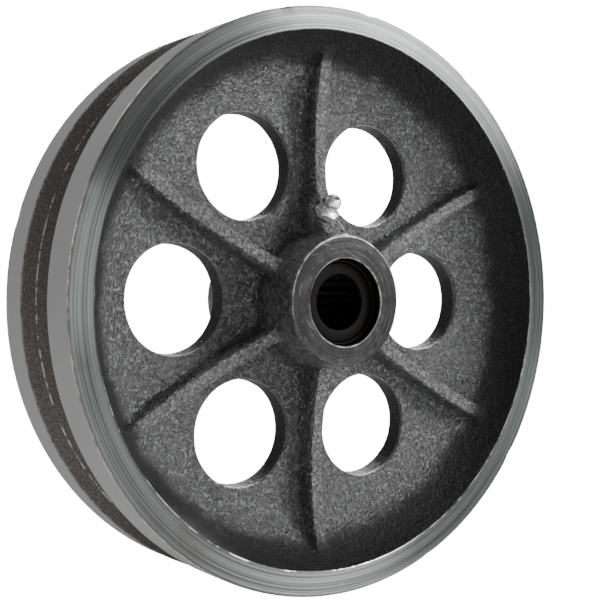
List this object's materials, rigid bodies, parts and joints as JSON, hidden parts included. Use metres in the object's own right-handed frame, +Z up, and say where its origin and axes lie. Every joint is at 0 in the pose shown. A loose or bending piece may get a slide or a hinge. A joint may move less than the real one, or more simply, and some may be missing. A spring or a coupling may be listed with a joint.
{
  "type": "v-groove track wheel",
  "caption": "Cast V-groove track wheel with a ribbed, holed web, a plain hub holding a caged roller bearing, and a tilted grease fitting.",
  "frame": {"origin": "centre of the wheel: on the axle's line, half way between the two rim faces", "axes": "+Y along the axle towards the rear face, +Z up through the rib that carries the grease fitting, +X to the right seen from the front; the fitting is on the front, -Y side"},
  "size_m": [0.2032, 0.0556, 0.2032],
  "materials": {
    "enamelled_iron": "sand-cast iron under gloss black enamel; rim faces, treads and hub faces turned to bare grey metal",
    "bearing_steel": "blackened and greased steel",
    "roller_steel": "hardened steel under a film of dark grease",
    "zinc_plate": "bright zinc plate"
  },
  "bodies": {
    "wheel": {"wheel_casting": "enamelled_iron", "bearing_sleeve": "bearing_steel", "grease_fitting": "zinc_plate", "check_spring": "bearing_steel"},
    "cage": {"roller_cage": "bearing_steel"},
    "roller_1": {"roller_1": "roller_steel"},
    "roller_2": {"roller_2": "roller_steel"},
    "roller_3": {"roller_3": "roller_steel"},
    "roller_4": {"roller_4": "roller_steel"},
    "roller_5": {"roller_5": "roller_steel"},
    "roller_6": {"roller_6": "roller_steel"},
    "roller_7": {"roller_7": "roller_steel"},
    "roller_8": {"roller_8": "roller_steel"},
    "roller_9": {"roller_9": "roller_steel"},
    "roller_10": {"roller_10": "roller_steel"},
    "check_ball": {"check_ball": "zinc_plate"}
  },
  "joints": [
    {"name": "cage_spin", "type": "hinge", "parent": "wheel", "child": "cage", "pos_m": [0, 0, 0], "axis": [0, 1, 0], "continuous": true},
    {"name": "roller_1_spin", "type": "hinge", "parent": "cage", "child": "roller_1", "pos_m": [0, 0, -0.01175], "axis": [0, 1, 0], "continuous": true},
    {"name": "roller_2_spin", "type": "hinge", "parent": "cage", "child": "roller_2", "pos_m": [0.00691, 0, -0.00951], "axis": [0, 1, 0], "continuous": true},
    {"name": "roller_3_spin", "type": "hinge", "parent": "cage", "child": "roller_3", "pos_m": [0.01118, 0, -0.00363], "axis": [0, 1, 0], "continuous": true},
    {"name": "roller_4_spin", "type": "hinge", "parent": "cage", "child": "roller_4", "pos_m": [0.01118, 0, 0.00363], "axis": [0, 1, 0], "continuous": true},
    {"name": "roller_5_spin", "type": "hinge", "parent": "cage", "child": "roller_5", "pos_m": [0.00691, 0, 0.00951], "axis": [0, 1, 0], "continuous": true},
    {"name": "roller_6_spin", "type": "hinge", "parent": "cage", "child": "roller_6", "pos_m": [0, 0, 0.01175], "axis": [0, 1, 0], "continuous": true},
    {"name": "roller_7_spin", "type": "hinge", "parent": "cage", "child": "roller_7", "pos_m": [-0.00691, 0, 0.00951], "axis": [0, 1, 0], "continuous": true},
    {"name": "roller_8_spin", "type": "hinge", "parent": "cage", "child": "roller_8", "pos_m": [-0.01118, 0, 0.00363], "axis": [0, 1, 0], "continuous": true},
    {"name": "roller_9_spin", "type": "hinge", "parent": "cage", "child": "roller_9", "pos_m": [-0.01118, 0, -0.00363], "axis": [0, 1, 0], "continuous": true},
    {"name": "roller_10_spin", "type": "hinge", "parent": "cage", "child": "roller_10", "pos_m": [-0.00691, 0, -0.00951], "axis": [0, 1, 0], "continuous": true},
    {"name": "check_ball_press", "type": "slide", "parent": "wheel", "child": "check_ball", "axis": [0, 0.7071, -0.7071], "range_m": [0, 0.0008], "stiffness_N_per_m": 250, "springref_m": -0.002, "deforming": ["check_spring"]}
  ],
  "couplings": [
    {"joint": "roller_1_spin", "follows": "cage_spin", "ratio": -6},
    {"joint": "roller_2_spin", "follows": "cage_spin", "ratio": -6},
    {"joint": "roller_3_spin", "follows": "cage_spin", "ratio": -6},
    {"joint": "roller_4_spin", "follows": "cage_spin", "ratio": -6},
    {"joint": "roller_5_spin", "follows": "cage_spin", "ratio": -6},
    {"joint": "roller_6_spin", "follows": "cage_spin", "ratio": -6},
    {"joint": "roller_7_spin", "follows": "cage_spin", "ratio": -6},
    {"joint": "roller_8_spin", "follows": "cage_spin", "ratio": -6},
    {"joint": "roller_9_spin", "follows": "cage_spin", "ratio": -6},
    {"joint": "roller_10_spin", "follows": "cage_spin", "ratio": -6}
  ]
}
